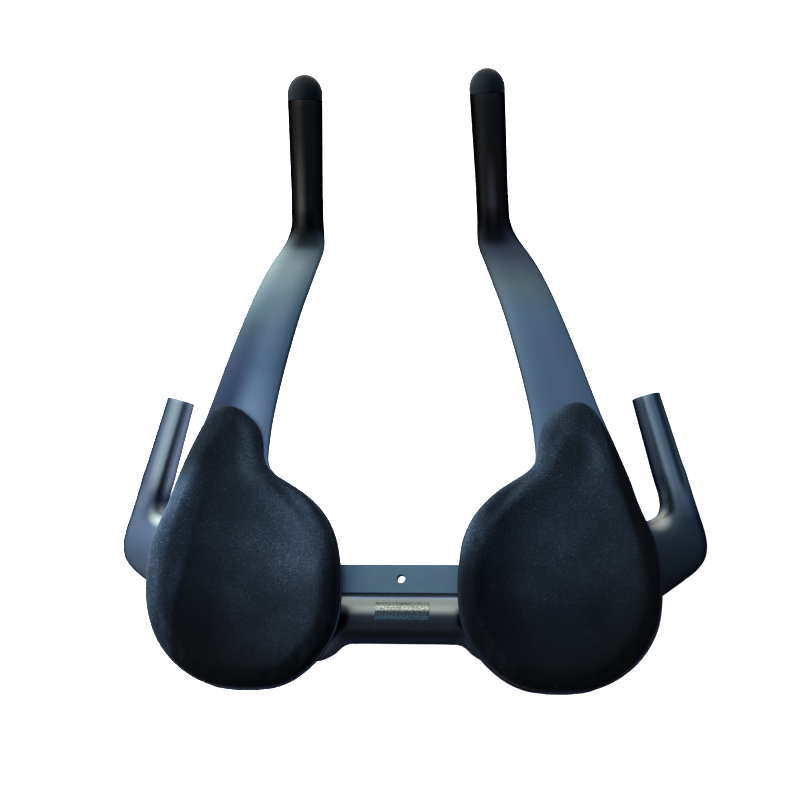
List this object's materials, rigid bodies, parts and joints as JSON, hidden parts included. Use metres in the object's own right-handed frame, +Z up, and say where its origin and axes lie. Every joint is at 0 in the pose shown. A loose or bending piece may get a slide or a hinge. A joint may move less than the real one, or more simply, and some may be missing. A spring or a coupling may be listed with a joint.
{
  "type": "time trial handlebar",
  "caption": "Wing shaped base bar with forward grips, and two padded arm rest extensions with upturned grips on a bridge over the stem clamp.",
  "frame": {"origin": "centre of the round stem clamp section, on its axis", "axes": "+X along the clamp axis to the rider's right, +Y forward, +Z up"},
  "size_m": [0.414, 0.3852, 0.177],
  "materials": {
    "carbon": "satin",
    "pad_fabric": "brushed knit over foam",
    "hook_tape": "hook tape",
    "rubber": "satin",
    "anodised": "black anodised, satin",
    "black_steel": "blackened",
    "steel": "plain",
    "insert_metal": "plain"
  },
  "bodies": {
    "root": {"base_bar": "carbon", "left_extension": "carbon", "right_extension": "carbon", "left_arm_pad": "pad_fabric", "right_arm_pad": "pad_fabric", "left_pad_hook_patches": "hook_tape", "right_pad_hook_patches": "hook_tape", "left_end_plug": "rubber", "right_end_plug": "rubber", "bridge_plate": "anodised", "left_riser_base": "anodised", "right_riser_base": "anodised", "left_riser_spacer": "anodised", "right_riser_spacer": "anodised", "left_tilt_wedge": "anodised", "right_tilt_wedge": "anodised", "left_riser_bolts": "black_steel", "right_riser_bolts": "black_steel", "left_bolt_washers": "steel", "right_bolt_washers": "steel", "left_bar_inserts": "insert_metal", "right_bar_inserts": "insert_metal"}
  },
  "joints": []
}
